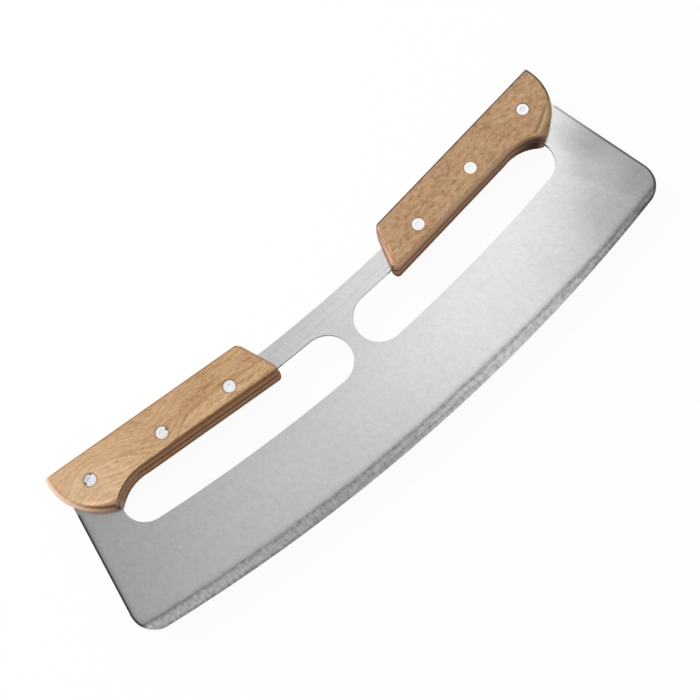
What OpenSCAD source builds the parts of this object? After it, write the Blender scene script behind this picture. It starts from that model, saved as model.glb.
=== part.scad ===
// Two-handled rocking knife for herbs and flat bread.
// One wide steel plate with a curved cutting edge and two hand slots,
// four wooden grip scales and six two-part rivets through them.
// It lies on the outer faces of its back scales: X runs along the knife,
// Y from the cutting edge to the spine, Z up through the plate's thickness.
// The origin is the middle of the bottom of its bounding box. Millimetres.

/* [Blade] */
// Width of the blade at its widest, near the lower corners
blade_w = 350; // [320:1:400]
// Thickness of the steel plate
blade_t = 2; // [1.2:0.1:3]
// Radius of the cutting edge, whose centre the spine and the slots share
edge_r = 950; // [800:10:1300]
// Height of the spine above the lowest point of the cutting edge, at the middle
spine_h = 89; // [86:0.1:96]
// Lean of the straight blade sides, in degrees from upright
side_lean = 9.4; // [6:0.1:12]
// Radius of the two lower corners
corner_r = 14; // [8:0.5:18]

/* [Cutting bevel] */
// Width of the ground band along the cutting edge, on each face
bevel_w = 5.8; // [3:0.1:9]
// Thickness left at the cutting edge
edge_t = 0.3; // [0.1:0.05:0.8]

/* [Hand slots] */
// Width of the steel strip between the spine and the slots
strip_w = 12.2; // [10:0.1:15]
// Width of a hand slot, which ends in half rounds
slot_w = 28.2; // [24:0.1:32]
// Width of the web of steel between the two slots
web_w = 8.1; // [6:0.1:16]
// Reach of a slot's outer end from the middle of the knife
slot_reach = 146; // [140:0.1:148]

/* [Handles] */
// Distance of a handle's lower inner corner from the middle of the knife
heel_x = 38.2; // [34:0.1:44]
// Height of that corner above the lowest point of the cutting edge
heel_h = 74.4; // [73:0.1:76]
// Rise of the handles towards their outer ends, in degrees
handle_tilt = 5.8; // [4:0.1:7]
// Depth of the straight part of a handle
handle_depth = 23.7; // [22:0.1:28]
// Angle of the slanted inner end to the handle's lower edge
heel_angle = 65; // [55:1:80]
// Corner radius at the top of the inner end
heel_top_r = 5; // [2:0.1:7]
// Corner radius at the bottom of the inner end
heel_low_r = 3.2; // [1:0.1:4]
// Radius of the bow at the outer end
bow_r = 29; // [26:0.1:32]
// Distance of the bow's centre from the lower inner corner, along the handle
bow_u = 101.5; // [98:0.1:106]
// Height of the bow's centre above the handle's lower edge
bow_v = 18.8; // [17:0.1:21]
// Corner radius at the upper tip
tip_r = 1; // [0.5:0.1:2]
// Radius of the finger curve that leaves the horn
finger_r = 24; // [20:0.5:26]
// Distance of the finger curve's centre from the lower inner corner
finger_u = 90; // [87:0.1:92]
// Depth that the finger curve bites into the straight lower edge
finger_bite = 0.15; // [0.15:0.05:0.6]
// Growth of the finger curve on the front faces, where it starts further in
finger_lean = 4; // [1:0.5:4]

/* [Scales] */
// Thickness of one wooden scale
scale_t = 8.75; // [7:0.25:11]
// Rounding of the long upper edges
edge_round = 1; // [0.5:0.1:2]
// Rounding of the long lower edges
low_round = 0.5; // [0.3:0.1:1.5]
// Width of the rounded band at the inner end, seen on the outer face
end_band = 3.2; // [1:0.1:4]
// Radius of that band, which meets the outer face in a crease
end_round = 5; // [4:0.1:8]
// Width of the rounded band round the bow where it is widest, below the horn
bow_band = 4.4; // [3:0.1:6]
// Radius of that band
bow_round = 6; // [6:0.1:8]
// Shift of the band's circle towards the upper tip, where the band fades out
bow_fade = 2; // [0:0.1:2.5]

/* [Rivets] */
// Diameter of a rivet head
head_d = 6.8; // [6:0.1:9]
// Thickness of a rivet head
head_t = 2.2; // [1.5:0.1:3]
// Chamfer round the rim of a head
head_chamfer = 0.25; // [0.1:0.05:0.4]
// Depth that a head sits under the wood
head_sink = 0.1; // [0.05:0.05:0.3]
// Diameter of the small dimple in a head
dimple_d = 2.6; // [1.5:0.1:3.5]
// Depth of the dimple
dimple_depth = 0.15; // [0.05:0.05:0.4]
// Outside diameter of the tube half's shank
tube_d = 4.4; // [4:0.1:5]
// Diameter of the pin half's shank
pin_d = 2.8; // [2:0.1:3.2]
// Distance of the inner rivet from the lower inner corner, along the handle
inner_rivet_u = 27; // [22:0.1:32]
// Distance of the middle rivet
middle_rivet_u = 68.3; // [60:0.1:76]
// Distance of the outer rivet
outer_rivet_u = 111.2; // [106:0.1:116]
// Height of the inner rivet above the handle's lower edge
inner_rivet_v = 7.2; // [6:0.1:14]
// Height of the middle rivet
middle_rivet_v = 7.8; // [6:0.1:14]
// Height of the outer rivet
outer_rivet_v = 9.2; // [6:0.1:14]

/* [Fits] */
// Clearance round a rivet in the wood and in the steel
rivet_clearance = 0.1; // [0.05:0.05:0.2]
// Clearance round the pin in its tube
pin_clearance = 0.03; // [0.02:0.01:0.1]
// Room left beyond the end of a tube or a pin
end_room = 0.6; // [0.4:0.1:1.5]

/* [Hidden] */

// Smoothness of small curves, of the blade's long arcs and of leaning cuts
$fn = 96;
LONG_ARC = 900;
CORNER_STEPS = 20;
LEAN_STEPS = 48;
// Overshoot of a cutting shape past the face that it cuts
OVER = 1;
// Direction in which the bow's band fades out, from the handle's lower edge
FADE_ANGLE = 45;

LEFT = -1;
RIGHT = 1;
FRONT = 1;
BACK = -1;
STEEL = [0.80, 0.80, 0.81];
WOOD_LEFT = [0.80, 0.63, 0.44];
WOOD_RIGHT = [0.72, 0.56, 0.40];
BRIGHT = [0.93, 0.93, 0.94];

// Places on a handle are given in its own frame: u runs along its lower edge
// from the lower inner corner, v square to that edge towards the spine.
bow_c = [bow_u, bow_v];
band_c = bow_c + bow_fade * [cos(FADE_ANGLE), sin(FADE_ANGLE)];
finger_c = [finger_u, finger_bite - finger_r];
face_finger_c = finger_c - [finger_lean, finger_lean];
bow_start = finger_u - finger_lean / 2;
tip_v = handle_depth - tip_r;
tip_c = [bow_u + sqrt(pow(bow_r - tip_r, 2) - pow(tip_v - bow_v, 2)), tip_v];
inner_rivet = [inner_rivet_u, inner_rivet_v];
middle_rivet = [middle_rivet_u, middle_rivet_v];
outer_rivet = [outer_rivet_u, outer_rivet_v];

// The knife's height from the cutting edge to the handles' upper tips
overall_h = heel_h + tip_c[0] * sin(handle_tilt) + tip_c[1] * cos(handle_tilt) + tip_r;
edge_y = -overall_h / 2;
arc_c = [0, edge_y + edge_r];

// Radii about the centre of the cutting edge
spine_r = edge_r - spine_h;
slot_top_r = spine_r + strip_w;
slot_mid_r = slot_top_r + slot_w / 2;
slot_low_r = slot_top_r + slot_w;

// The lower corner's round touches the straight side and the cutting edge
corner_x = blade_w / 2 - corner_r;
corner_arm = edge_r - corner_r;
corner_c = [corner_x, arc_c[1] - sqrt(corner_arm * corner_arm - corner_x * corner_x)];
edge_angle = -acos(corner_x / corner_arm);
side_touch = on_corner(side_lean);

// Heights of the stack: back scale, plate, front scale
plate_z = scale_t;
total_t = 2 * scale_t + blade_t;
head_seat = head_sink + head_t;
shank_length = total_t - 2 * head_seat - end_room;

function mirrored(points) = [for (p = points) [-p[0], p[1]]];
function reversed(points) = [for (i = [len(points) - 1 : -1 : 0]) points[i]];
function on_corner(angle) = corner_c + corner_r * [cos(angle), sin(angle)];
function on_slot_arc(x) = [x, arc_c[1] - sqrt(slot_mid_r * slot_mid_r - x * x)];

// Puts what is drawn in a handle's own frame on the right or the left handle
module on_handle(side) {
    mirror([side == LEFT ? 1 : 0, 0, 0])
        translate([heel_x, edge_y + heel_h, 0])
            rotate(handle_tilt)
                children();
}

// Turns a part drawn with its outer face up into one for the knife's back
module on_face(face) {
    translate([0, 0, plate_z + (face == FRONT ? blade_t : 0)])
        mirror([0, 0, face == FRONT ? 0 : 1])
            children();
}

// The straight part of a handle, with its slanted inner end
module grip_outline() {
    low_run = heel_low_r / tan(heel_angle / 2);
    top_run = heel_top_r * tan(heel_angle / 2);
    slant = [cos(heel_angle), sin(heel_angle)];
    top_corner = slant * handle_depth / sin(heel_angle);
    polygon([
        low_run * slant,
        [low_run, 0],
        [bow_start, 0],
        [bow_start, handle_depth],
        top_corner + [top_run, 0],
        top_corner - top_run * slant
    ]);
    translate([low_run, heel_low_r])
        circle(heel_low_r);
    translate([top_corner[0] + top_run, handle_depth - heel_top_r])
        circle(heel_top_r);
}

// The bowed outer end of a handle, with its upper tip and the horn below
module bow_outline() {
    tip_touch = tip_c + tip_r * (tip_c - bow_c) / (bow_r - tip_r);
    low = bow_v - bow_r - OVER;
    far = bow_u + bow_r + OVER;
    intersection() {
        translate(bow_c)
            circle(bow_r);
        polygon([
            [bow_start, low],
            [far, low],
            [far, tip_touch[1]],
            tip_touch,
            [tip_c[0], handle_depth],
            [bow_start, handle_depth]
        ]);
    }
    translate(tip_c)
        circle(tip_r);
}

module handle_outline() {
    difference() {
        union() {
            grip_outline();
            bow_outline();
        }
        translate(finger_c)
            circle(finger_r);
    }
}

module long_arc(radius) {
    translate(arc_c)
        circle(radius, $fn = LONG_ARC);
}

// The plate before its slots: an arc between the spine and the cutting edge,
// straight leaning sides, and a round at each lower corner. A round ends in
// a short straight that leaves across the cutting edge.
module plate_outline() {
    step = (side_lean - edge_angle) / CORNER_STEPS;
    round = [for (i = [1 : CORNER_STEPS]) on_corner(edge_angle + (i - 0.5) * step)];
    leave = round[0] + corner_r * (round[0] - round[1]) / norm(round[0] - round[1]);
    below = [leave[0], edge_y - OVER];
    rise = arc_c[1] - spine_r + spine_h - side_touch[1];
    side_top = side_touch + rise * [-tan(side_lean), 1];
    right_side = concat([below, leave], round, [side_touch, side_top]);
    intersection() {
        difference() {
            long_arc(edge_r);
            long_arc(spine_r);
        }
        polygon(concat(right_side, reversed(mirrored(right_side))));
    }
}

// One hand slot, on the right: a curved band with half-round ends
module slot_outline() {
    inner_c = on_slot_arc(web_w / 2 + slot_w / 2);
    outer_c = on_slot_arc(slot_reach - slot_w / 2);
    beyond = slot_low_r * 1.1 / slot_mid_r;
    intersection() {
        difference() {
            long_arc(slot_low_r);
            long_arc(slot_top_r);
        }
        polygon([
            arc_c,
            arc_c + beyond * (inner_c - arc_c),
            arc_c + beyond * (outer_c - arc_c)
        ]);
    }
    for (end = [inner_c, outer_c])
        translate(end)
            circle(slot_w / 2);
}

// The wedge of air above the ground band of one face of the edge
module bevel_cut() {
    drop = (blade_t - edge_t) / 2;
    translate([arc_c[0], arc_c[1], plate_z + blade_t])
        rotate_extrude($fn = LONG_ARC)
            polygon([
                [edge_r - bevel_w, 0],
                [edge_r, -drop],
                [edge_r + OVER, -drop - drop * OVER / bevel_w],
                [edge_r + OVER, OVER],
                [edge_r - bevel_w, OVER]
            ]);
}

module blade() {
    color(STEEL)
        difference() {
            translate([0, 0, plate_z])
                linear_extrude(blade_t)
                    union() {
                        difference() {
                            plate_outline();
                            slot_outline();
                            mirror([1, 0])
                                slot_outline();
                        }
                        for (side = [LEFT, RIGHT])
                            on_handle(side)
                                handle_outline();
                    }
            bevel_cut();
            translate([0, 0, 2 * plate_z + blade_t])
                mirror([0, 0, 1])
                    bevel_cut();
            for (side = [LEFT, RIGHT])
                on_handle(side)
                    for (place = [inner_rivet, middle_rivet, outer_rivet])
                        translate([place[0], place[1], plate_z - OVER])
                            cylinder(h = blade_t + 2 * OVER, d = tube_d + 2 * rivet_clearance);
        }
}

// The scales are drawn with the steel side at height 0 and the outer face up.
// A scale's cross-section from 0 out to its edge, with the outer corner rounded.
// The round runs down into the side wall, and meets the face in a crease where
// its radius is larger than the band that it takes from the face.
module rounded_profile(reach, band, radius) {
    drop = sqrt(band * (2 * radius - band));
    difference() {
        square([reach, scale_t]);
        translate([reach - band, scale_t - drop])
            square([band + OVER, drop + OVER]);
    }
    intersection() {
        translate([reach - radius, scale_t - drop])
            circle(radius);
        translate([reach - band - OVER, scale_t - drop - OVER])
            square([band + 2 * OVER, drop + OVER]);
    }
}

// A long bar along u, with a rounded edge at the handle's top
module top_edge_bar(length, depth, radius) {
    rotate([90, 0, 90])
        linear_extrude(length)
            translate([handle_depth - depth, 0])
                rounded_profile(depth, radius, radius);
}

// The same bar with its rounded edge at the handle's lower side
module low_edge_bar(length, radius) {
    translate([0, handle_depth, 0])
        mirror([0, 1, 0])
            top_edge_bar(length, handle_depth, radius);
}

// A bar along the slanted inner end, with that end's edge rounded
module heel_bar() {
    length = bow_start + handle_depth;
    translate(length * [cos(heel_angle), sin(heel_angle)])
        rotate([90, 0, heel_angle - 90])
            linear_extrude(length)
                translate([length, 0])
                    mirror([1, 0])
                        rounded_profile(length, end_band, end_round);
}

module scale_grip() {
    intersection() {
        linear_extrude(scale_t)
            grip_outline();
        top_edge_bar(bow_start, handle_depth, edge_round);
        low_edge_bar(bow_start, low_round);
        heel_bar();
    }
}

module scale_bow() {
    intersection() {
        linear_extrude(scale_t)
            bow_outline();
        translate(band_c)
            rotate_extrude()
                rounded_profile(bow_r + bow_fade, bow_band, bow_round);
        top_edge_bar(bow_u + bow_r + OVER, handle_depth + bow_r, edge_round);
    }
}

// The back's finger curve cutter: a round bar that flares out at the outer face
module back_finger_cutter() {
    flare_r = finger_r + low_round;
    flare_z = scale_t - low_round;
    translate(finger_c)
        rotate_extrude() {
            translate([0, -OVER])
                square([finger_r, scale_t + 2 * OVER]);
            difference() {
                translate([0, flare_z])
                    square([flare_r, low_round + OVER]);
                translate([flare_r, flare_z])
                    circle(low_round);
            }
        }
}

// The front's cutter leans: at the outer face its curve is larger and starts
// further in, so that the horn is fuller there and the edge is crisp
module front_finger_cutter() {
    hull() {
        translate([finger_c[0], finger_c[1], -OVER])
            cylinder(h = OVER, r = finger_r, $fn = LEAN_STEPS);
        translate([face_finger_c[0], face_finger_c[1], scale_t])
            cylinder(h = OVER, r = finger_r + finger_lean, $fn = LEAN_STEPS);
    }
}

// A stepped hole for one rivet: a seat for the head and a way for the shank
module rivet_hole() {
    translate([0, 0, -OVER])
        cylinder(h = scale_t + 2 * OVER, d = tube_d + 2 * rivet_clearance);
    translate([0, 0, scale_t - head_seat])
        cylinder(h = head_seat + OVER, d = head_d + 2 * rivet_clearance);
}

module scale_body(face) {
    difference() {
        union() {
            scale_grip();
            scale_bow();
        }
        if (face == FRONT)
            front_finger_cutter();
        else
            back_finger_cutter();
        for (place = [inner_rivet, middle_rivet, outer_rivet])
            translate(place)
                rivet_hole();
    }
}

module wooden_scale(side, face) {
    color(side == LEFT ? WOOD_LEFT : WOOD_RIGHT)
        on_handle(side)
            on_face(face)
                scale_body(face);
}

// A flat rivet head with a chamfered rim and a small dimple, outer face at 0
module rivet_head() {
    rim = head_d / 2;
    dimple = dimple_d / 2;
    rotate_extrude()
        polygon([
            [0, -head_t],
            [rim, -head_t],
            [rim, -head_chamfer],
            [rim - head_chamfer, 0],
            [dimple, 0],
            [dimple - dimple_depth, -dimple_depth],
            [0, -dimple_depth]
        ]);
}

// Puts a rivet half at its place, with its head on the front or on the back
module on_rivet(side, face, place) {
    color(BRIGHT)
        on_handle(side)
            translate(place)
                on_face(face)
                    translate([0, 0, scale_t - head_sink])
                        children();
}

// The front half: a head with a solid pin
module rivet_pin(side, place) {
    on_rivet(side, FRONT, place) {
        rivet_head();
        translate([0, 0, -head_t - shank_length])
            cylinder(h = shank_length, d = pin_d);
    }
}

// The back half: a head with a tube that takes the pin
module rivet_tube(side, place) {
    on_rivet(side, BACK, place) {
        rivet_head();
        translate([0, 0, -head_t - shank_length])
            difference() {
                cylinder(h = shank_length, d = tube_d);
                translate([0, 0, -OVER])
                    cylinder(h = shank_length + OVER, d = pin_d + 2 * pin_clearance);
            }
    }
}

blade();
wooden_scale(LEFT, FRONT);  // scale_front_left
wooden_scale(LEFT, BACK);  // scale_back_left
wooden_scale(RIGHT, FRONT);  // scale_front_right
wooden_scale(RIGHT, BACK);  // scale_back_right
rivet_pin(LEFT, inner_rivet);  // rivet_pin_left_inner
rivet_tube(LEFT, inner_rivet);  // rivet_tube_left_inner
rivet_pin(LEFT, middle_rivet);  // rivet_pin_left_middle
rivet_tube(LEFT, middle_rivet);  // rivet_tube_left_middle
rivet_pin(LEFT, outer_rivet);  // rivet_pin_left_outer
rivet_tube(LEFT, outer_rivet);  // rivet_tube_left_outer
rivet_pin(RIGHT, inner_rivet);  // rivet_pin_right_inner
rivet_tube(RIGHT, inner_rivet);  // rivet_tube_right_inner
rivet_pin(RIGHT, middle_rivet);  // rivet_pin_right_middle
rivet_tube(RIGHT, middle_rivet);  // rivet_tube_right_middle
rivet_pin(RIGHT, outer_rivet);  // rivet_pin_right_outer
rivet_tube(RIGHT, outer_rivet);  // rivet_tube_right_outer
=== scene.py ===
"""Looks of a two-handled rocking knife: satin steel plate, tan hardwood grips and bright rivets."""

import math

import bmesh
import bpy
from mathutils import Euler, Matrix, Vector
from mathutils.bvhtree import BVHTree


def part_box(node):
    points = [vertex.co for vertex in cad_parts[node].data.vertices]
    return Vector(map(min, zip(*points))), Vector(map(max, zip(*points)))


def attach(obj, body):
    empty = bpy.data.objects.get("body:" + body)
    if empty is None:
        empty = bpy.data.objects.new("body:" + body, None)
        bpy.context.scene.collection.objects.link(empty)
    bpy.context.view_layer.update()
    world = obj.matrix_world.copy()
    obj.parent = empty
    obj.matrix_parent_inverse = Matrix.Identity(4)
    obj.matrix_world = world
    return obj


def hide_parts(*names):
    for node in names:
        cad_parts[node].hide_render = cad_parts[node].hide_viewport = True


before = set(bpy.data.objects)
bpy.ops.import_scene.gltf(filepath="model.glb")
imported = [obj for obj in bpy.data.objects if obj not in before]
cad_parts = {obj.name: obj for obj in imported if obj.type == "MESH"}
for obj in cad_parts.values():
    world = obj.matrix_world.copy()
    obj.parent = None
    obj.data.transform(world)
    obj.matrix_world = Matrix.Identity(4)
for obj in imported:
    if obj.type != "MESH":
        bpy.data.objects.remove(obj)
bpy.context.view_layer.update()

MM = 0.001


def rgb(red, green, blue):
    return (red, green, blue, 1.0)


# Camera: its place, its turns about X, Y and Z, and the field of view of the square picture
CAMERA_PLACE = Vector((-57.7, -142.5, 546.8)) * MM
CAMERA_TURNS = (0.26661, -0.09378, -0.71464)
FIELD_OF_VIEW = math.radians(35.83)
NEAREST_SEEN = 10 * MM

# The plate: the arc of its cutting edge, the easing of its bare rims, and its half width in mm
EDGE_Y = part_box("blade")[0].y
EDGE_RADIUS = 950 * MM
EDGE_CENTRE_Y = EDGE_Y + EDGE_RADIUS
EASED_EDGE = 0.35 * MM
HALF_WIDTH = 175

# The plate's short sides and lower corners in mm: the sides' lean and their reach along their
# normal, and the centre and radius of the corner
SIDE_LEAN = math.radians(9.4)
SIDE_REACH = 168.33
CORNER_X = 161
CORNER_Y = EDGE_Y / MM + 27.95
CORNER_RADIUS = 14

# The steel's colour, and the colour of the painted shade where the steel shows between the scales
STEEL = rgb(0.66, 0.66, 0.665)
TANG_SHADE = rgb(0.20, 0.115, 0.07)

# The ground band: its height in mm, and the brightness of its painted reflection by the place from the
# knife's middle in mm
BAND_HEIGHT = 6.1
BAND_TONES = [
    (-170, 0.98), (-140, 0.80), (-95, 0.68), (-60, 0.55),
    (-25, 0.56), (50, 0.75), (80, 0.71), (165, 0.42),
]
BAND_BRIGHTNESS = 1.3

# Painted sheen and painted shade on the plate: place in mm, reach of the core and of the whole, and
# what they add
PAINTED_PLATE_PATCHES = [
    (160.5, -13.5, 3, 17, 0.19),
    (118.0, -26.0, 4, 20, 0.06),
    (142.5, -33.5, 5, 24, -0.09),
]

# The handles: lower inner corner, rise towards the outer end, slant of the inner end, the middle
# of their thickness in mm, and the radius of the rivets' heads
HEEL_X = 38.2 * MM
HEEL_Y = EDGE_Y + 74.4 * MM
HANDLE_TILT = math.radians(5.8)
END_SLANT = math.radians(65)
MIDDLE_HEIGHT = 9.75
RIVET_RADIUS = 3.4 * MM
SIDES = {"left": -1, "right": 1}

# Circles on a handle in mm: centre along and across the handle, and radius
LEFT_CREASE = (97.3, 19.75, 30.55)
LEFT_RIDGE = (101.5, 18.8, 25.3)
RIGHT_BOW = (101.5, 18.8, 29.0)
RIGHT_BOW_ON_PLATE = (105.5, 21.4, 29.2)
RIVET_DIMPLE = (111.4, 9.4, 1.1)

# The right crease: where it begins on the handle in mm, its rise, and the share of a step across
# the handle that is square to the crease
CREASE_U, CREASE_V = 105, -5.3
CREASE_RISE = 0.42
CREASE_SQUARE = 0.92

# The growth mark on the left handle: its height by the place along the handle in mm, and the
# length, lowest height and span of heights of the ramp that holds it
GROWTH_MARK = [
    (0, 9), (35, 9.5), (44, 9.5), (51, 8.5), (57, 5.5), (61, 2.5), (67, -4), (74, -4), (79, 3),
    (88, 8.5), (94, 10.5), (102, 14), (107, 16.5), (112, 16.5), (118, 14), (126, 9), (135, 3),
]
MARK_LENGTH = 135
MARK_LOWEST = -10
MARK_SPAN = 30

# The woods: tones from dark grain to light, other colours, gloss, and depth of the relief
TAN_TONES = [
    (0.40, rgb(0.44, 0.235, 0.110)),
    (0.50, rgb(0.62, 0.390, 0.215)),
    (0.60, rgb(0.76, 0.515, 0.310)),
]
TAN = {
    "rosy": rgb(0.66, 0.385, 0.215),
    "yellow": rgb(0.66, 0.46, 0.24),
    "growth mark": rgb(0.42, 0.22, 0.09),
    "pore": rgb(0.27, 0.13, 0.05),
    "pale outer half": rgb(0.76, 0.56, 0.37),
    # Painted light on the bow band and its top; painted shade in the crease, the top line, the rim
    # lines and the two sides
    "bow band": rgb(1.0, 0.64, 0.46),
    "bow band top": rgb(0.86, 0.68, 0.56),
    "crease": rgb(0.24, 0.095, 0.035),
    "top line": rgb(0.26, 0.12, 0.045),
    "rivet seat": rgb(0.19, 0.11, 0.05),
    "dark side": rgb(0.34, 0.165, 0.075),
    "pale side": rgb(0.54, 0.29, 0.145),
    "rim shade": rgb(0.17, 0.075, 0.03),
}
BROWN_TONES = [
    (0.36, rgb(0.31, 0.165, 0.080)),
    (0.50, rgb(0.50, 0.315, 0.175)),
    (0.64, rgb(0.64, 0.430, 0.265)),
]
BROWN = {
    "rosy": rgb(0.60, 0.300, 0.190),
    "olive": rgb(0.46, 0.30, 0.12),
    "pore": rgb(0.23, 0.115, 0.055),
    # Painted shade in the crease, the outline, the sides and under the bow; painted light beside the
    # crease and on the front rim
    "crease": rgb(0.20, 0.125, 0.06),
    "beside crease": rgb(0.64, 0.42, 0.27),
    "dark inner end": rgb(0.42, 0.195, 0.125),
    "pale inner end": rgb(0.66, 0.40, 0.29),
    "outline": rgb(0.055, 0.042, 0.034),
    "rivet seat": rgb(0.17, 0.10, 0.05),
    "back side": rgb(0.29, 0.135, 0.08),
    "front side": rgb(0.66, 0.385, 0.225),
    "front rim": rgb(0.86, 0.57, 0.35),
    "under the bow": rgb(0.045, 0.02, 0.012),
}
WOOD_GLOSS = 0.14
WOOD_RELIEF = 0.05 * MM
STEEL_RELIEF = 0.012 * MM
RIVET_RELIEF = 0.002 * MM

# The rivets: colours, painted dark reflections at the rims of two left ones (place on the handle and
# size in mm), and the painted mirrored shadow on the left outer one (place on the handle in mm)
RIVET = {
    "bluish": rgb(0.92, 0.94, 0.97),
    "white": rgb(0.99, 0.99, 0.99),
    "shadow": rgb(0.42, 0.50, 0.62),
    "dimple": rgb(0.45, 0.52, 0.55),
    "dark_reflection": rgb(0.10, 0.09, 0.10),
}
RIVET_DARK_REFLECTIONS = [(65.3, 8.0, 1.2), (109.4, 11.9, 1.3), (114.3, 8.9, 1.3)]
RIVET_SHADOW = (113.0, 11.4)

# The ceiling's brightness from left to right, by the sideways slope of the view up plus 0.5
CEILING = [
    (0.2, 0.42), (0.32, 0.58), (0.42, 0.80), (0.5, 0.84), (0.6, 1.05), (0.7, 1.27),
    (0.78, 1.47), (0.83, 1.43), (0.87, 1.24), (0.91, 0.92), (0.96, 0.70), (1.0, 0.52),
]
FRONT_WALL = rgb(0.34, 0.34, 0.34)
BACK_WALL = rgb(0.84, 0.84, 0.84)

# The floor: colour for light that bounces and for what is seen, glowing share, size and gap
PAPER = rgb(0.35, 0.35, 0.35)
PAPER_SEEN = rgb(0.95, 0.95, 0.95)
PAPER_GLOW = 0.94
FLOOR_SIZE = 30
FLOOR_GAP = 0.2 * MM


class Value:
    """The output of a node, with the sums that shader maths needs."""

    def __init__(self, recipe, socket):
        self.recipe = recipe
        self.socket = socket

    def maths(self, operation, *values):
        return self.recipe.node("ShaderNodeMath", {"operation": operation}, dict(enumerate(values)))

    def __add__(self, other):
        return self.maths("ADD", self, other)

    def __radd__(self, other):
        return self.maths("ADD", other, self)

    def __sub__(self, other):
        return self.maths("SUBTRACT", self, other)

    def __rsub__(self, other):
        return self.maths("SUBTRACT", other, self)

    def __mul__(self, other):
        return self.maths("MULTIPLY", self, other)

    def __rmul__(self, other):
        return self.maths("MULTIPLY", other, self)

    def __truediv__(self, other):
        return self.maths("DIVIDE", self, other)

    def __pow__(self, other):
        return self.maths("POWER", self, other)

    def __abs__(self):
        return self.maths("ABSOLUTE", self)

    def or_more(self, other):
        return self.maths("MAXIMUM", self, other)

    def or_less(self, other):
        return self.maths("MINIMUM", self, other)

    def step_up(self, low, high):
        """0 below low, 1 above high, and a smooth rise between them."""
        settings = {"interpolation_type": "SMOOTHSTEP"}
        inputs = {"Value": self, "From Min": low, "From Max": high}
        return self.recipe.node("ShaderNodeMapRange", settings, inputs)

    def step_down(self, low, high):
        """1 below low, 0 above high, and a smooth fall between them."""
        return 1 - self.step_up(low, high)

    def line(self, core, reach):
        """1 within core of zero, and a smooth fall to 0 at reach, on both sides."""
        return abs(self).step_down(core, reach)


class Recipe:
    """Makes and links the nodes of one material or of the world."""

    def __init__(self, tree):
        self.tree = tree

    def node(self, kind, settings=None, inputs=None, out=0):
        made = self.tree.nodes.new(kind)
        for key, value in (settings or {}).items():
            if key == "stops":
                set_stops(made.color_ramp, value)
            else:
                setattr(made, key, value)
        for key, value in (inputs or {}).items():
            self.feed(made.inputs[key], value)
        return Value(self, made.outputs[out])

    def feed(self, socket, value):
        if isinstance(value, Value):
            self.tree.links.new(value.socket, socket)
        else:
            socket.default_value = value

    def parts(self, vector):
        """The three numbers of a vector."""
        split = self.node("ShaderNodeSeparateXYZ", inputs={"Vector": vector})
        return [Value(self, output) for output in split.socket.node.outputs]

    def joined(self, x, y, z):
        return self.node("ShaderNodeCombineXYZ", inputs={"X": x, "Y": y, "Z": z})

    def mixed(self, share, first, second):
        inputs = {0: share, 6: first, 7: second}
        return self.node("ShaderNodeMix", {"data_type": "RGBA"}, inputs, out=2)

    def shaded(self, colour, shade):
        plain = colour[:3] if isinstance(colour, tuple) else colour
        inputs = {0: plain, 1: self.joined(shade, shade, shade)}
        return self.node("ShaderNodeVectorMath", {"operation": "MULTIPLY"}, inputs)

    def ramp(self, stops, value):
        return self.node("ShaderNodeValToRGB", {"stops": stops}, {0: value})

    def noise(self, vector, scale, detail=2.0, roughness=0.5):
        inputs = {"Vector": vector, "Scale": scale, "Detail": detail, "Roughness": roughness}
        return self.node("ShaderNodeTexNoise", inputs=inputs)

    def drawn_noise(self, x, y, z, detail=3.0, roughness=0.6):
        """Noise about 0.5, drawn out along an axis by a small factor on its place."""
        return self.noise(self.joined(x, y, z), 1.0, detail, roughness)


class Finish(Recipe):
    """One material: a Principled shader and the nodes that feed it."""

    def __init__(self, name):
        self.material = bpy.data.materials.new(name)
        self.material.use_nodes = True
        super().__init__(self.material.node_tree)
        self.shader = self.tree.nodes["Principled BSDF"]

    def set(self, **values):
        for name, value in values.items():
            self.feed(self.shader.inputs[name.replace("_", " ")], value)

    def place(self):
        return self.node("ShaderNodeTexCoord", out="Object")

    def on_walls(self, low, high):
        """1 on upright walls and 0 on flat faces, by the upward part of the normal."""
        upward = self.parts(self.node("ShaderNodeTexCoord", out="Normal"))[2]
        return abs(upward).step_down(low, high)

    def bump(self, height, depth):
        inputs = {"Height": height, "Strength": 1.0, "Distance": depth}
        self.set(Normal=self.node("ShaderNodeBump", inputs=inputs))


def set_stops(ramp, stops):
    while len(ramp.elements) > 1:
        ramp.elements.remove(ramp.elements[-1])
    ramp.elements[0].position, ramp.elements[0].color = stops[0]
    for position, colour in stops[1:]:
        ramp.elements.new(position).color = colour


def grey_stops(points, start=0, span=1):
    """Stops of a ramp that holds numbers: points of place and number, placed from start over span."""
    return [((place - start) / span, rgb(number, number, number)) for place, number in points]


def distance(u, v, centre_u, centre_v):
    du = u - centre_u
    dv = v - centre_v
    return (du * du + dv * dv) ** 0.5


def off_circle(u, v, circle):
    """How far outside a circle a place is."""
    centre_u, centre_v, radius = circle
    return distance(u, v, centre_u, centre_v) - radius


def on_grip(finish, side):
    """Place on one handle in mm: along it, across it and up, from its lower inner corner."""
    x, y, z = [part / MM for part in finish.parts(finish.place())]
    along = x * SIDES[side] - HEEL_X / MM
    across = y - HEEL_Y / MM
    turn, rise = math.cos(HANDLE_TILT), math.sin(HANDLE_TILT)
    return along * turn + across * rise, across * turn - along * rise, z


def from_inner_end(u, v):
    """How far a place is from the handle's slanted inner end, in mm."""
    return u * math.sin(END_SLANT) - v * math.cos(END_SLANT)


def near_faces(z, low, high):
    """1 near the front and back faces of a handle, from high mm off its middle."""
    return abs(z - MIDDLE_HEIGHT).step_up(low, high)


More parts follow.
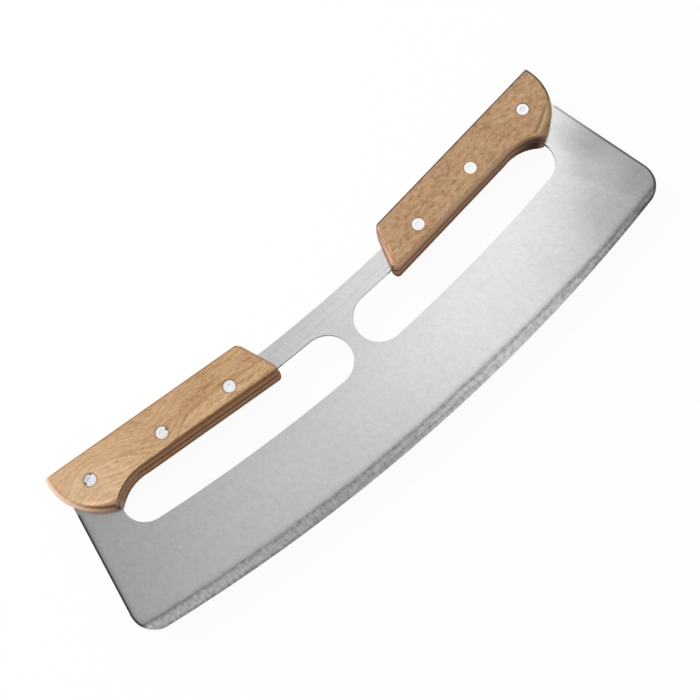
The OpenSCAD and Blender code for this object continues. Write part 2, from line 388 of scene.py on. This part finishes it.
def ground_band(steel, x, depth, ticks, streaks):
    """The band's cover, its painted reflection shade with ground marks, and the painted shade of the
    lines along it and of its lip.
    """
    waver = steel.drawn_noise(x * 0.13, 0.5, 0.5) - 0.5
    height = BAND_HEIGHT + waver * 1.4 - x.step_up(35, 95) * 1.0 - x.step_up(90, 135) * 1.3
    above = depth - height
    cover = above.step_down(-0.5, 0.3)
    # Painted shade: a fade above the band, a dark grind line at its top, a second line in the middle,
    # and a dark lip at the edge
    fade = above.step_down(-0.4, 3.6) * (1 - cover)
    spots = steel.drawn_noise(x * 0.35, depth * 0.5, 2.0).step_up(0.3, 0.7)
    grind_line = (above + 0.3).line(0.2, 1.7) * (0.30 + spots * 0.70)
    middle = x.step_up(-60, -25) * x.step_down(15, 60)
    second_line = (depth - 1.9 - waver).line(0.1, 0.9) * middle
    lines = (1 - fade * 0.20) * (1 - grind_line * 0.42) * (1 - second_line * 0.26)
    lip = depth.step_down(0.5, 1.9) * (1 - x.step_up(-90, -45) * x.step_down(90, 130))
    lines = lines * (1 - lip * (0.34 - ticks * 0.9))

    stops = grey_stops(BAND_TONES, -HALF_WIDTH, 2 * HALF_WIDTH)
    tone = steel.ramp(stops, (x + HALF_WIDTH) / (2 * HALF_WIDTH)) * BAND_BRIGHTNESS
    blotches = steel.drawn_noise(x * 0.26, depth * 0.55, 8.0) - 0.5
    ground = ticks * 1.4 + streaks * (0.45 + middle * 0.45)
    ground = ground + blotches * (0.65 + x.step_up(-60, 0) * 0.5)
    return cover, tone * (1 + ground), lines


def short_side_shade(x, y, depth, band, right_half):
    """Painted shade: thin dark outlines of the short sides, with a soft one inside the left side."""
    outer = abs(x)
    side = SIDE_REACH - (outer * math.cos(SIDE_LEAN) + y * math.sin(SIDE_LEAN))
    corner_x = (outer - CORNER_X).or_more(0)
    corner_y = (CORNER_Y - y).or_more(0)
    corner = CORNER_RADIUS - (corner_x * corner_x + corner_y * corner_y) ** 0.5
    rim = side.or_less(corner)
    at_side = outer.step_up(148, 160)
    right_strength = right_half * (1 - y.step_up(-5, 24) * 0.45)
    strength = right_strength + (1 - right_half) * depth.step_up(4, 8)
    outline = rim.step_down(0.6, 1.7) * at_side * y.step_down(31, 33) * strength
    soft_side = rim.step_down(0.8, 4.2) * at_side * (1 - right_half) * depth.step_up(4, 9)
    return (1 - outline * (0.84 - band * 0.3)) * (1 - soft_side * 0.22)


def painted_sheen(steel, x, y):
    """Painted sheen beside the right bow, and painted brighter and duller places."""
    u, v = on_grip(steel, "right")[:2]
    glow = off_circle(u, v, RIGHT_BOW_ON_PLATE).step_down(0, 19) * 0.10
    for patch_x, patch_y, core, reach, strength in PAINTED_PLATE_PATCHES:
        glow = glow + distance(x, y, patch_x, patch_y).step_down(core, reach) * strength
    return glow


def strip_shade(steel, x, y, depth):
    """Shade of the strip between the handles, with fine long lines."""
    strip = y.step_up(16, 22) * abs(x).step_down(44, 50)
    long_lines = steel.drawn_noise(x * 0.025, depth * 0.9, 6.0, 2.0) - 0.5
    return 1 + strip * (0.04 + long_lines * 0.30)


def grip_wall(steel, side, end):
    """1 on the part of the plate between the two scales, as far along the handle as end."""
    u, v = on_grip(steel, side)[:2]
    straight = v.step_up(-1.6, -0.8)
    finger_curve = u.step_up(80, 88) * v.step_up(-13.5, -12.5)
    within = v.step_down(3, 4) * u.step_up(-2, -1) * u.step_down(end - 3, end + 3)
    return straight.or_more(finger_curve) * within


def satin_steel():
    """Stainless plate: satin faces, faintly mottled, painted sheen and shade, thin dark outlines of
    painted shade, and the ground band.
    """
    steel = Finish("satin_steel")
    place = steel.place()
    x, y, z = [part / MM for part in steel.parts(place)]
    from_centre = y - EDGE_CENTRE_Y / MM
    depth = EDGE_RADIUS / MM - (x * x + from_centre * from_centre) ** 0.5
    right_half = x.step_up(-5, 5)

    mottle = steel.drawn_noise(x * 0.30 + y * 0.08, y * 0.22, z * 0.1, 4.0, 0.75)
    grain = steel.noise(place, 900.0, 2.0, 0.6)
    cloud = steel.noise(place, 30.0)
    shade = 0.75 + mottle * 0.27 + grain * 0.16 + cloud * 0.07 + painted_sheen(steel, x, y)

    ticks = steel.drawn_noise(x * 0.62 + depth * 0.05, depth * 0.24, 1.0, 3.0, 0.75) - 0.5
    streaks = steel.drawn_noise(x * 0.16, depth * 0.95, 4.0, 3.0, 0.7) - 0.5
    band, band_shade, lines = ground_band(steel, x, depth, ticks, streaks)
    shade = (shade * (1 - band) + band_shade * band) * lines
    shade = shade * strip_shade(steel, x, y, depth)
    shade = shade * short_side_shade(x, y, depth, band, right_half)

    # Painted shade: the plate's upright walls are darkened, more so on the left half
    upright = steel.on_walls(0.6, 0.975)
    wall = upright * (0.30 + (1 - right_half) * y.step_down(30, 33) * 0.32)
    # Painted shade: where the steel shows between the scales it turns dark brown, loses its shine and
    # goes duller
    tang_shade = grip_wall(steel, "left", 92).or_more(grip_wall(steel, "right", 109))
    tang_shade = tang_shade.or_more(grip_wall(steel, "left", 128) * 0.45) * upright
    steel.set(Base_Color=steel.mixed(tang_shade, steel.shaded(STEEL, shade * (1 - wall)), TANG_SHADE))
    steel.set(Metallic=1 - tang_shade)
    dullness = 0.19 + grain * 0.05 + band * 0.14 + ticks * band * 0.2
    steel.set(Roughness=dullness + upright * 0.2 + tang_shade * 0.5)
    steel.bump(mottle + grain * 0.4 + (ticks + streaks) * band * 0.6, STEEL_RELIEF)
    return steel.material


def rivet_centre(side, place):
    low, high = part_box(f"rivet_pin_{side}_{place}")
    return (low + high) / 2


def seat_shadow(wood, side):
    """Dark ring in the wood round each rivet's head."""
    x, y = wood.parts(wood.place())[:2]
    ring = 0
    for place in ("inner", "middle", "outer"):
        centre = rivet_centre(side, place)
        reach = distance(x, y, centre.x, centre.y) / MM
        ring = ring + reach.step_down(RIVET_RADIUS / MM, RIVET_RADIUS / MM + 1.1)
    return ring


def tan_grain(wood, u, v, z):
    """Left wood's colour, its streaks and its relief: fine streaks and one long growth mark."""
    sway = wood.drawn_noise(u * 0.05, v * 0.12, z * 0.12, 2.0, 0.5) - 0.5
    heights = [(along, (height - MARK_LOWEST) / MARK_SPAN) for along, height in GROWTH_MARK]
    mark = wood.ramp(grey_stops(heights, 0, MARK_LENGTH), u / MARK_LENGTH)
    mark = mark * MARK_SPAN + MARK_LOWEST
    gap = v - mark + sway * 2
    across = v - mark * 0.45 + sway * 3
    streaks = wood.drawn_noise(u * 0.06, across * 0.95, z * 0.95, 4.0, 0.65)
    fibres = wood.drawn_noise(u * 0.30, across * 2.6, z * 2.6, 2.0, 0.5)
    flecks = wood.drawn_noise(u * 0.42, v * 0.9, z * 0.9, 3.0, 0.65)
    grain = streaks * 0.42 + fibres * 0.26 + flecks * 0.32
    tone = wood.ramp(TAN_TONES, (grain - 0.5) * 1.25 + 0.5)
    rosy = wood.drawn_noise(u * 0.05, v * 0.16, z * 0.16 + 5)
    tone = wood.mixed(rosy.step_up(0.48, 0.7) * 0.35, tone, TAN["rosy"])
    tone = wood.mixed(rosy.step_down(0.3, 0.5) * 0.35, tone, TAN["yellow"])
    mark_strength = gap.step_up(-0.3, 1.0) * 0.24 + gap.line(0.15, 1.0) * 0.56
    tone = wood.mixed(mark_strength, tone, TAN["growth mark"])
    pore = wood.drawn_noise(u * 0.35, across * 3.4, z * 3.4 + 2, 1.0, 0.5).step_up(0.62, 0.72)
    tone = wood.mixed(pore * 0.28, tone, TAN["pore"])
    tone = wood.mixed(u.step_up(55, 125) * 0.35, tone, TAN["pale outer half"])
    return tone, streaks, streaks + fibres * 0.4 - pore * 0.6


def tan_bow(wood, tone, u, v):
    """Left bow: a pale band of painted light outside a crease of painted brown shade, and a painted
    highlight on a ridge inside it.
    """
    at_bow = u.step_up(95, 103)
    horn = v.step_down(-7, 7)
    crease = off_circle(u, v, LEFT_CREASE)
    tone = wood.mixed(crease.step_up(0.3, 1.6) * at_bow * 0.85, tone, TAN["bow band"])
    band_top = crease.step_up(1.2, 2.4) * at_bow * (1 - horn)
    tone = wood.mixed(band_top * 0.6, tone, TAN["bow band top"])
    crease_line = crease.line(0.2, 1.1) * at_bow * (0.15 + horn * 0.72)
    tone = wood.mixed(crease_line, tone, TAN["crease"])
    ridge = off_circle(u, v, LEFT_RIDGE).line(0.2, 1.7) * at_bow * horn
    return tone, crease_line, 1 + ridge * 0.34


def tan_side(wood, u, z, streaks):
    """Left scales' underside: painted shade, paler along the middle of each scale, and darker at the
    bottom and the inner end.
    """
    pale = (abs(z - 9.2) - 3.4).line(0.4, 3.0)
    tone = wood.mixed(pale, TAN["dark side"], TAN["pale side"])
    tone = wood.shaded(tone, 0.95 + streaks * 0.9 - z.step_down(0.3, 2.2) * 0.5)
    return wood.shaded(tone, 1 - u.step_down(0.5, 3.5) * 0.75)


def tan_rim_shade(u, v, z):
    """1 on thin dark lines of painted shade along the inner end and the lower rim of the left faces."""
    end_line = (from_inner_end(u, v) - 0.8).line(0.4, 1.1) * u.step_down(12, 16)
    low_line = (v - 0.5).line(0.3, 0.9) * u.step_down(64, 72) * u.step_up(0, 1)
    return end_line.or_more(low_line) * near_faces(z, 8.2, 9.2)


def tan_wood():
    """Left scales: pale tan hardwood, fine streaks, one long growth mark, and painted light and shade:
    the brown crease, bow, edges and underside.
    """
    wood = Finish("hardwood_left")
    u, v, z = on_grip(wood, "left")
    tone, streaks, relief = tan_grain(wood, u, v, z)
    tone, crease_line, ridge_highlight = tan_bow(wood, tone, u, v)
    # Painted shade: a dark line along the top edge of the left faces
    top_line = v.step_up(22.4, 23.0) * u.step_down(122, 130) * near_faces(z, 7.6, 8.6)
    tone = wood.mixed(top_line * 0.75, tone, TAN["top line"])
    tone = wood.mixed(seat_shadow(wood, "left") * 0.42, tone, TAN["rivet seat"])
    # The ridge's painted highlight brightens the face here
    face = wood.shaded(tone, (0.95 + u.step_up(10, 120) * 0.08) * ridge_highlight)
    flank = wood.on_walls(0.15, 0.85) * u.step_down(104, 108)
    tone = wood.mixed(flank * v.step_down(10, 20), face, tan_side(wood, u, z, streaks))
    tone = wood.mixed(tan_rim_shade(u, v, z) * 0.6, tone, TAN["rim shade"])
    wood.set(Base_Color=tone)
    wood.set(Roughness=streaks * 0.2 + 0.46 + flank * 0.15, Specular_IOR_Level=WOOD_GLOSS)
    wood.bump(relief - crease_line * 1.5, WOOD_RELIEF)
    return wood.material


def brown_grain(wood, u, v, z):
    """Right wood's colour and its three kinds of noise: short dark, olive and rosy flecks."""
    flecks = wood.drawn_noise(u * 0.30, v * 0.50, z * 0.50, 4.0, 0.65)
    fibres = wood.drawn_noise(u * 0.24, v * 1.5, z * 1.5)
    clouds = wood.drawn_noise(u * 0.06, v * 0.11, z * 0.11 + 7)
    tone = wood.ramp(BROWN_TONES, flecks * 0.60 + fibres * 0.25 + clouds * 0.15)
    rosy = wood.drawn_noise(u * 0.14, v * 0.26, z * 0.26 + 3, 4.0, 0.7)
    tone = wood.mixed(rosy.step_up(0.50, 0.64) * 0.50, tone, BROWN["rosy"])
    tone = wood.mixed(rosy.step_down(0.36, 0.50) * 0.45, tone, BROWN["olive"])
    return tone, flecks, fibres, clouds


def brown_crease(wood, tone, u, v, waver):
    """Right bow: painted shade along a soft crease, with a paler line of painted light below it."""
    across = v - (u - CREASE_U) * CREASE_RISE - CREASE_V
    crease = (across + waver * 2) * CREASE_SQUARE
    at_bow = u.step_up(103, 107) * u.step_down(118, 124)
    tone = wood.mixed(crease.line(0.2, 1.1) * at_bow * 0.62, tone, BROWN["crease"])
    below = (crease + 2.4).line(0.3, 2.4) * at_bow
    return wood.mixed(below * 0.5, tone, BROWN["beside crease"])


def rosy_inner_end(wood, tone, u, v, z):
    """Right handle's rosy streaked band at the inner end, part wood tone and part painted highlight,
    and 1 on the wall of that end.
    """
    inward = from_inner_end(u, v)
    streaks = wood.drawn_noise(inward * 1.2, (u + v) * 0.12, z * 0.4).step_up(0.4, 0.62)
    rosy = wood.mixed(streaks, BROWN["dark inner end"], BROWN["pale inner end"])
    tone = wood.mixed(inward.step_down(2.8, 3.8) * 0.8, tone, rosy)
    end_wall = wood.on_walls(0.15, 0.85) * inward.step_down(0.8, 1.8) * u.step_down(12, 16)
    return tone, end_wall


def brown_outline(u, v, z):
    """1 on thin dark lines of painted shade along the top of the right faces and round their bow."""
    bow = off_circle(u, v, RIGHT_BOW).step_up(-1.5, -0.7) * u.step_up(112, 118) * v.step_up(0, 6)
    return v.step_up(22.3, 23.0).or_more(bow) * near_faces(z, 7.6, 8.6)


def brown_side(wood, u, z, grain):
    """Right scales' underside: painted shade, lighter towards the front face with a painted lit rim,
    and near black under the bow.
    """
    tone = wood.mixed(z.step_up(1, 11), BROWN["back side"], BROWN["front side"])
    tone = wood.mixed(z.step_up(13, 18), tone, BROWN["front rim"])
    under_bow = u.step_up(92, 106) * (0.97 - z.step_up(11, 19) * 0.45)
    tone = wood.mixed(under_bow, tone, BROWN["under the bow"])
    return wood.shaded(tone, 0.85 + grain - z.step_down(0.3, 2.4) * 0.6)


def brown_wood():
    """Right scales: browner hardwood with short flecks; painted shade on the crease, outline and sides,
    and a painted lit lower edge.
    """
    wood = Finish("hardwood_right")
    u, v, z = on_grip(wood, "right")
    tone, flecks, fibres, clouds = brown_grain(wood, u, v, z)
    pore = wood.drawn_noise(u * 0.55, v * 2.4, z * 2.4 + 4, 2.0, 0.5).step_up(0.58, 0.70)
    tone = wood.mixed(pore * 0.38, tone, BROWN["pore"])
    tone = brown_crease(wood, tone, u, v, clouds - 0.5)
    tone, end_wall = rosy_inner_end(wood, tone, u, v, z)
    tone = wood.mixed(brown_outline(u, v, z) * 0.86, tone, BROWN["outline"])
    tone = wood.mixed(seat_shadow(wood, "right") * 0.45, tone, BROWN["rivet seat"])
    # Painted shade darkens the wall of the inner end
    face = wood.shaded(tone, (0.98 + clouds * 0.06) * (1 - end_wall * 0.28))
    side = brown_side(wood, u, z, flecks * 0.7 + fibres * 0.4)
    flank = wood.on_walls(0.15, 0.85) * u.step_down(106, 109) * (1 - end_wall)
    wood.set(Base_Color=wood.mixed(flank * v.step_down(10, 20), face, side))
    wood.set(Roughness=flecks * 0.25 + 0.46 + flank * 0.2, Specular_IOR_Level=WOOD_GLOSS)
    wood.bump(flecks + fibres * 0.5 - pore * 0.6, WOOD_RELIEF)
    return wood.material


def bright_rivet():
    """Bright metal of the rivets: polished, faint scratches, a dark dimple ring, and painted dark
    reflections and shadow on left ones.
    """
    metal = Finish("bright_rivet")
    place = metal.place()
    scratches = metal.noise(place, 1500.0)
    cloud = metal.noise(place, 300.0).step_up(0.35, 0.65)
    tone = metal.mixed(cloud, RIVET["bluish"], RIVET["white"])
    left_u, left_v = on_grip(metal, "left")[:2]
    shadow = distance(left_u, left_v, *RIVET_SHADOW).step_down(0.5, 3.2)
    tone = metal.mixed(shadow * 0.55, tone, RIVET["shadow"])
    right_u, right_v = on_grip(metal, "right")[:2]
    dimple = off_circle(right_u, right_v, RIVET_DIMPLE).line(0.1, 0.6)
    tone = metal.mixed(dimple * 0.45, tone, RIVET["dimple"])
    # Painted dark reflections at the rims of the left rivets
    dark_reflection = 0
    for spot_u, spot_v, size in RIVET_DARK_REFLECTIONS:
        dark_reflection = dark_reflection + distance(left_u, left_v, spot_u, spot_v).step_down(size * 0.4, size)
    metal.set(Base_Color=metal.mixed(dark_reflection * 0.85, tone, RIVET["dark_reflection"]))
    metal.set(Metallic=0.40, Roughness=scratches * 0.10 + 0.24)
    metal.bump(scratches, RIVET_RELIEF)
    return metal.material


def eased_plate(node, covers):
    """A copy of the plate with its bare rims eased. A rim that a wooden scale covers stays sharp."""
    depsgraph = bpy.context.evaluated_depsgraph_get()
    trees = [BVHTree.FromObject(cover, depsgraph) for cover in covers]
    shape = bmesh.new()
    shape.from_mesh(node.data)
    bmesh.ops.remove_doubles(shape, verts=shape.verts, dist=0.002 * MM)
    flat = math.radians(0.15)
    bmesh.ops.dissolve_limit(shape, angle_limit=flat, verts=shape.verts, edges=shape.edges)

    def is_bare_rim(edge):
        if len(edge.link_faces) != 2:
            return False
        flatness = sorted(abs(face.normal.z) for face in edge.link_faces)
        middle = (edge.verts[0].co + edge.verts[1].co) / 2
        covered = any(tree.find_nearest(middle)[3] < 0.2 * MM for tree in trees)
        return flatness[0] < 0.1 and flatness[1] > 0.995 and not covered

    rims = [edge for edge in shape.edges if is_bare_rim(edge)]
    bmesh.ops.bevel(
        shape, geom=rims, offset=EASED_EDGE, segments=2, profile=0.6, affect="EDGES", clamp_overlap=True
    )
    for face in shape.faces:
        face.smooth = True
    for edge in shape.edges:
        edge.smooth = len(edge.link_faces) == 2 and edge.calc_face_angle() < math.radians(15)
    mesh = bpy.data.meshes.new("plate")
    shape.to_mesh(mesh)
    shape.free()
    plate = bpy.data.objects.new("plate", mesh)
    bpy.context.scene.collection.objects.link(plate)
    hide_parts("blade")
    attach(plate, "root")
    return plate


def white_floor():
    """White paper under the knife. Seen or mirrored it is near white, and it keeps a faint shadow."""
    paper = Finish("white_paper")
    rays = paper.node("ShaderNodeLightPath").socket.node.outputs
    camera_ray, glossy_ray, glass_ray = [
        Value(paper, rays[name]) for name in ("Is Camera Ray", "Is Glossy Ray", "Is Transmission Ray")
    ]
    seen = camera_ray.or_more(glossy_ray).or_more(glass_ray)
    paper.set(Base_Color=paper.mixed(seen, PAPER, PAPER_SEEN))
    paper.set(Roughness=0.9, Specular_IOR_Level=0.0)
    glow = paper.node("ShaderNodeEmission", inputs={"Color": rgb(1, 1, 1), "Strength": 1.0})
    lit = Value(paper, paper.shader.outputs[0])
    mix = paper.node("ShaderNodeMixShader", inputs={0: seen * PAPER_GLOW, 1: lit, 2: glow})
    paper.feed(paper.tree.nodes["Material Output"].inputs["Surface"], mix)
    bpy.ops.mesh.primitive_plane_add(size=FLOOR_SIZE, location=(0, 0, -FLOOR_GAP))
    floor = bpy.context.object
    floor.name = "floor"
    floor.data.materials.append(paper.material)


def daylight():
    """A pale room: walls brighter behind the knife's spine, a ceiling that grows bright to the right.

    The camera sees plain white where it looks past the floor."""
    world = bpy.data.worlds.new("pale_room")
    bpy.context.scene.world = world
    world.use_nodes = True
    room = Recipe(world.node_tree)
    right, back, up = room.parts(room.node("ShaderNodeTexCoord", out="Generated"))
    toward_spine = (back * 0.9 + right * 0.3).step_up(-0.9, 0.9)
    walls = room.mixed(toward_spine, FRONT_WALL, BACK_WALL)

    height = up.or_more(0.3)
    rise = back / height
    slope = right / height
    far_right = slope.step_up(0.22, 0.34)
    lean = (rise - 0.235).or_more(-0.05).or_less(0.10)
    slope = slope - lean * (far_right + slope.step_up(0.30, 0.44))
    drop = (rise - 0.26).or_more(0) * (3.2 - far_right * 1.9)
    ceiling = room.ramp(grey_stops(CEILING), slope + 0.5)
    ceiling = room.shaded(ceiling, (0.89 + rise * 0.5 - drop).or_more(0.6))

    tone = room.mixed(up.step_up(0.55, 0.8), walls, ceiling)
    past_the_floor = room.node("ShaderNodeLightPath", out="Is Camera Ray")
    tone = room.mixed(past_the_floor, tone, rgb(1, 1, 1))
    room.feed(room.tree.nodes["Background"].inputs["Color"], tone)


def soft_lamp(name, place, size, power):
    """A wide lamp aimed at the knife's middle, which the steel doesn't mirror."""
    lamp = bpy.data.lights.new(name, "AREA")
    lamp.shape = "RECTANGLE"
    lamp.size, lamp.size_y = size
    lamp.energy = power
    holder = bpy.data.objects.new(name, lamp)
    holder.location = place
    holder.rotation_euler = (-Vector(place)).to_track_quat("-Z", "Y").to_euler()
    holder.visible_glossy = False
    bpy.context.scene.collection.objects.link(holder)


def camera():
    lens = bpy.data.cameras.new("camera")
    lens.angle = FIELD_OF_VIEW
    lens.clip_start = NEAREST_SEEN
    holder = bpy.data.objects.new("camera", lens)
    holder.location = CAMERA_PLACE
    holder.rotation_mode = "ZYX"
    holder.rotation_euler = Euler(CAMERA_TURNS, "ZYX")
    bpy.context.scene.collection.objects.link(holder)
    bpy.context.scene.camera = holder


def dress(piece, material):
    piece.data.materials.clear()
    piece.data.materials.append(material)


camera()
scales = {name: node for name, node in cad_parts.items() if name.startswith("scale")}
dress(eased_plate(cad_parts["blade"], scales.values()), satin_steel())
wood = {"left": tan_wood(), "right": brown_wood()}
for name, scale in scales.items():
    dress(scale, wood[name.split("_")[2]])
rivet_metal = bright_rivet()
for name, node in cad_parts.items():
    if name.startswith("rivet"):
        dress(node, rivet_metal)

white_floor()
daylight()
soft_lamp("side", (-0.5, 1.3, 0.8), (1.2, 0.8), 22)
bpy.context.scene.view_settings.view_transform = "Standard"
